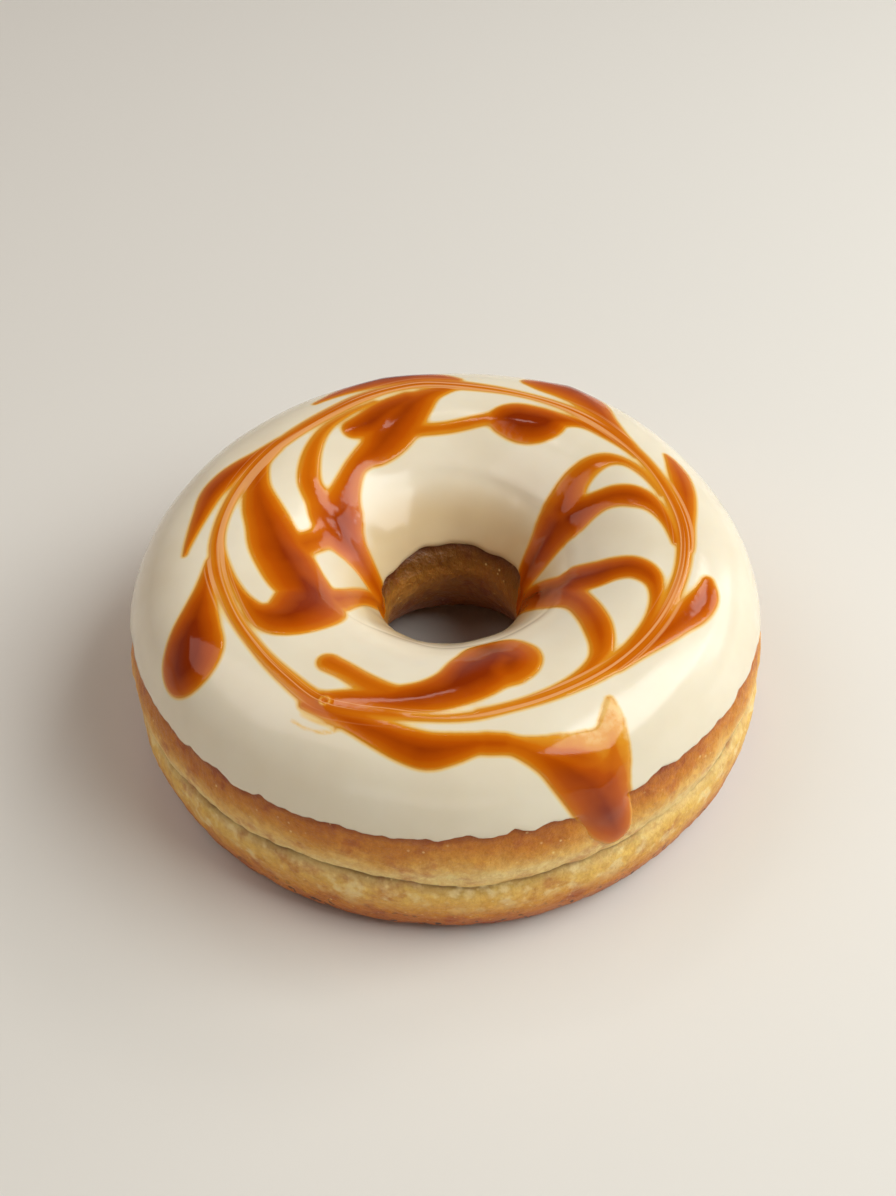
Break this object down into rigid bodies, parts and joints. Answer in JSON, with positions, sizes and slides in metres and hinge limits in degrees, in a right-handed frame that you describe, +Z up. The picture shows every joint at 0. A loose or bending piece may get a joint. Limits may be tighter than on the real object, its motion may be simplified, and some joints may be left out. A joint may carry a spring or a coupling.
{
  "type": "ring doughnut",
  "caption": "Baked ring doughnut with a set white icing shell over its top and a marbled caramel drizzle drawn through the icing.",
  "frame": {"origin": "middle of the underside, on the surface the doughnut rests on", "axes": "+Z up through the hole; the front of the iced top faces -Y"},
  "size_m": [0.09, 0.09, 0.0336],
  "materials": {
    "dough": "golden-brown baked crust with a pale proof line round its side",
    "icing": "glossy set white icing, warm cream",
    "caramel": "glossy translucent caramel, deep brown where thick and amber at its edges"
  },
  "bodies": {
    "root": {"dough_ring": "dough", "white_icing": "icing", "caramel_drizzle": "caramel"}
  },
  "joints": []
}
